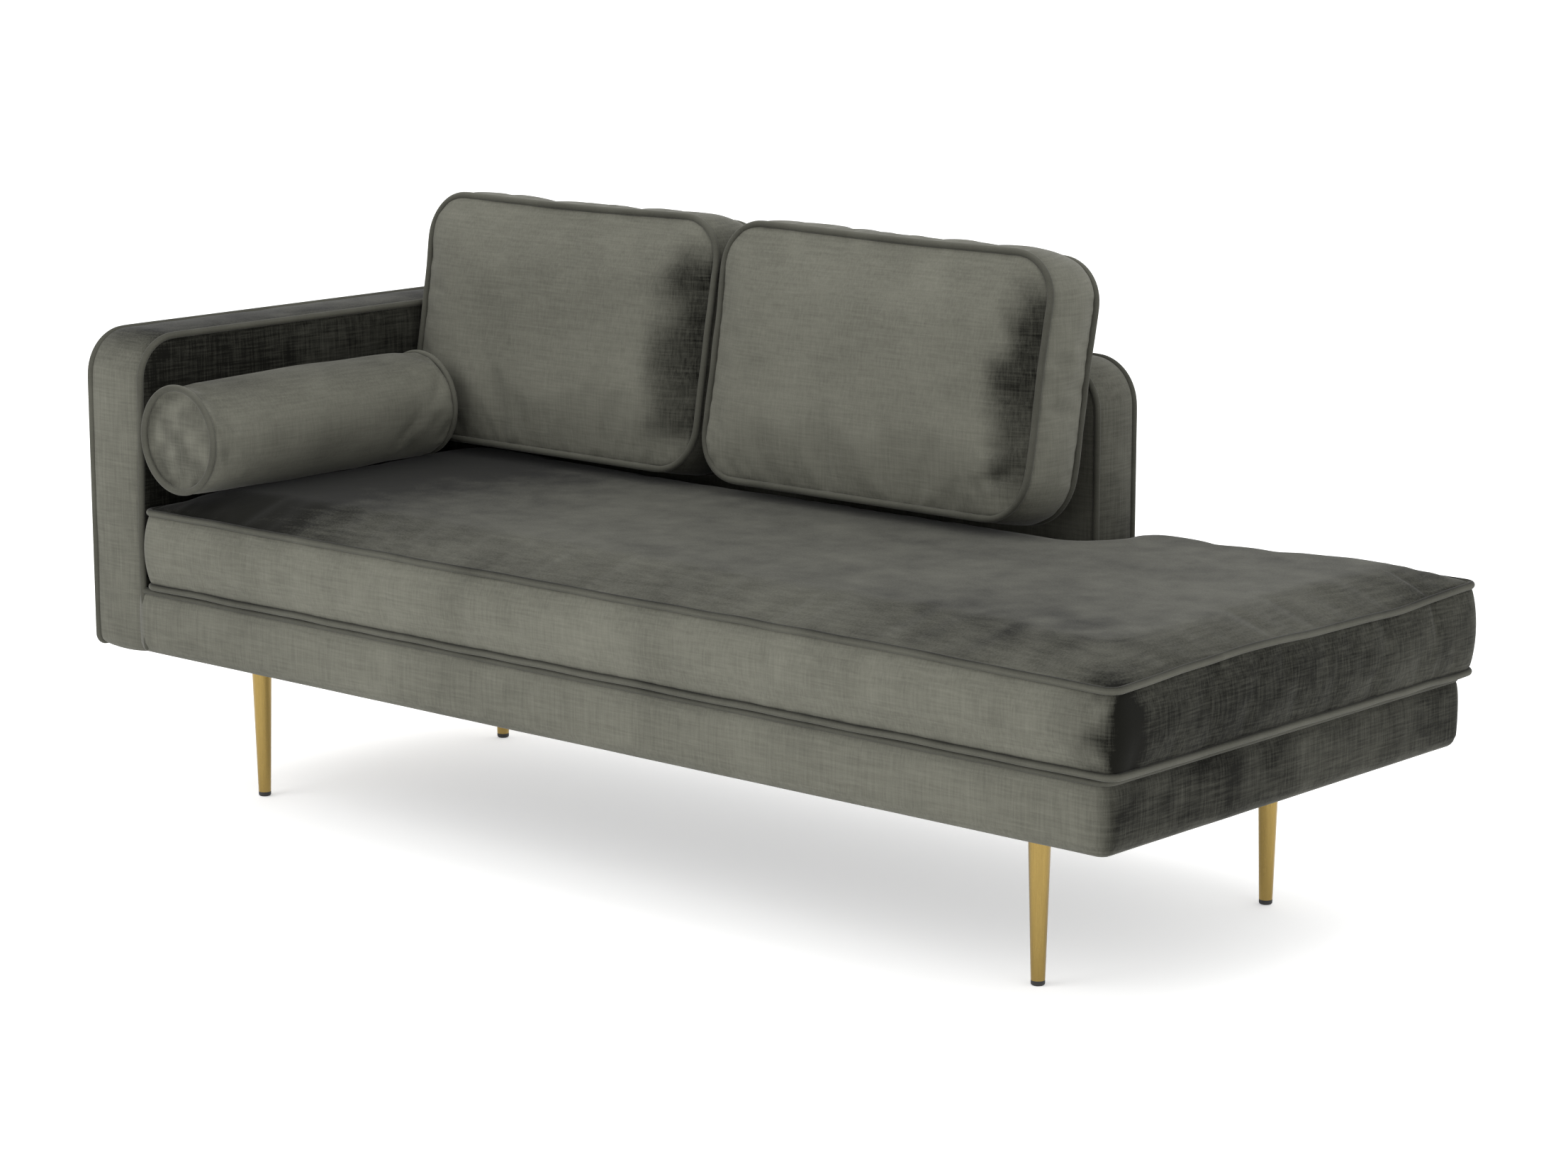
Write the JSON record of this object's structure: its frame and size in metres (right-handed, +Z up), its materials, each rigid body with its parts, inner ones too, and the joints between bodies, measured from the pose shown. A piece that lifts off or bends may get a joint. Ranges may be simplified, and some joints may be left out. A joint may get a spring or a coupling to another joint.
{
  "type": "daybed",
  "caption": "One-armed upholstered daybed with a part-length back, a loose seat cushion, loose back cushions, a round bolster and tapered metal legs.",
  "frame": {"origin": "on the floor, under the middle of the object's bounding box", "axes": "+X from the arm to the open foot end, +Y from the front to the back, +Z up"},
  "size_m": [1.632, 0.692, 0.7521],
  "materials": {
    "velvet": "short-pile velvet",
    "velvet_piping": "velvet-covered welt cord",
    "foam": "foam and fibre filling",
    "felt": "needled felt",
    "black_lining": "non-woven lining",
    "timber": "planed pine",
    "board": "plywood",
    "brass": "satin",
    "zinc_steel": "zinc plated",
    "black_rubber": "matt"
  },
  "bodies": {
    "frame": {"arm_bolts": "zinc_steel", "arm_corner_block": "timber", "arm_cover_band": "velvet", "arm_cover_inner": "velvet", "arm_cover_outer": "velvet", "arm_front_post": "timber", "arm_inner_board": "board", "arm_lower_rail": "timber", "arm_outer_board": "board", "arm_padding": "foam", "arm_piping": "velvet_piping", "arm_rear_post": "timber", "arm_top_rail": "timber", "back_bolts": "zinc_steel", "back_corner_block": "timber", "back_cover_band": "velvet", "back_cover_front": "velvet", "back_cover_rear": "velvet", "back_front_board": "board", "back_lower_rail": "timber", "back_padding": "foam", "back_piping": "velvet_piping", "back_rear_board": "board", "back_top_rail": "timber", "back_uprights": "timber", "base_arm_end_rail": "timber", "base_centre_rail": "timber", "base_cover": "velvet", "base_foot_end_rail": "timber", "base_front_rail": "timber", "base_padding": "foam", "base_piping": "velvet_piping", "base_rear_rail": "timber", "deck_cloth": "black_lining", "deck_felt": "felt", "dust_cover": "black_lining", "glue_blocks": "timber", "leg_boards": "timber", "leg_front_arm_end": "brass", "leg_front_foot_end": "brass", "leg_glides": "black_rubber", "leg_plates": "zinc_steel", "leg_rear_arm_end": "brass", "leg_rear_foot_end": "brass", "plate_screws": "zinc_steel", "seat_springs": "zinc_steel", "spring_clips": "zinc_steel"},
    "seat_cushion": {"seat_foam": "foam", "seat_cover": "velvet", "seat_piping": "velvet_piping"},
    "back_cushion_left": {"back_cushion_left_cover": "velvet", "back_cushion_left_fill": "foam", "back_cushion_left_piping": "velvet_piping"},
    "back_cushion_right": {"back_cushion_right_cover": "velvet", "back_cushion_right_fill": "foam", "back_cushion_right_piping": "velvet_piping"},
    "bolster": {"bolster_cover": "velvet", "bolster_fill": "foam", "bolster_piping": "velvet_piping"}
  },
  "joints": [
    {"name": "seat_cushion_lift", "type": "slide", "parent": "frame", "child": "seat_cushion", "axis": [0, 0, 1], "range_m": [0, 0.3]},
    {"name": "back_cushion_left_lift", "type": "slide", "parent": "seat_cushion", "child": "back_cushion_left", "axis": [0, 0, 1], "range_m": [0, 0.3]},
    {"name": "back_cushion_right_lift", "type": "slide", "parent": "seat_cushion", "child": "back_cushion_right", "axis": [0, 0, 1], "range_m": [0, 0.3]},
    {"name": "bolster_lift", "type": "slide", "parent": "seat_cushion", "child": "bolster", "axis": [0, 0, 1], "range_m": [0, 0.3]}
  ]
}
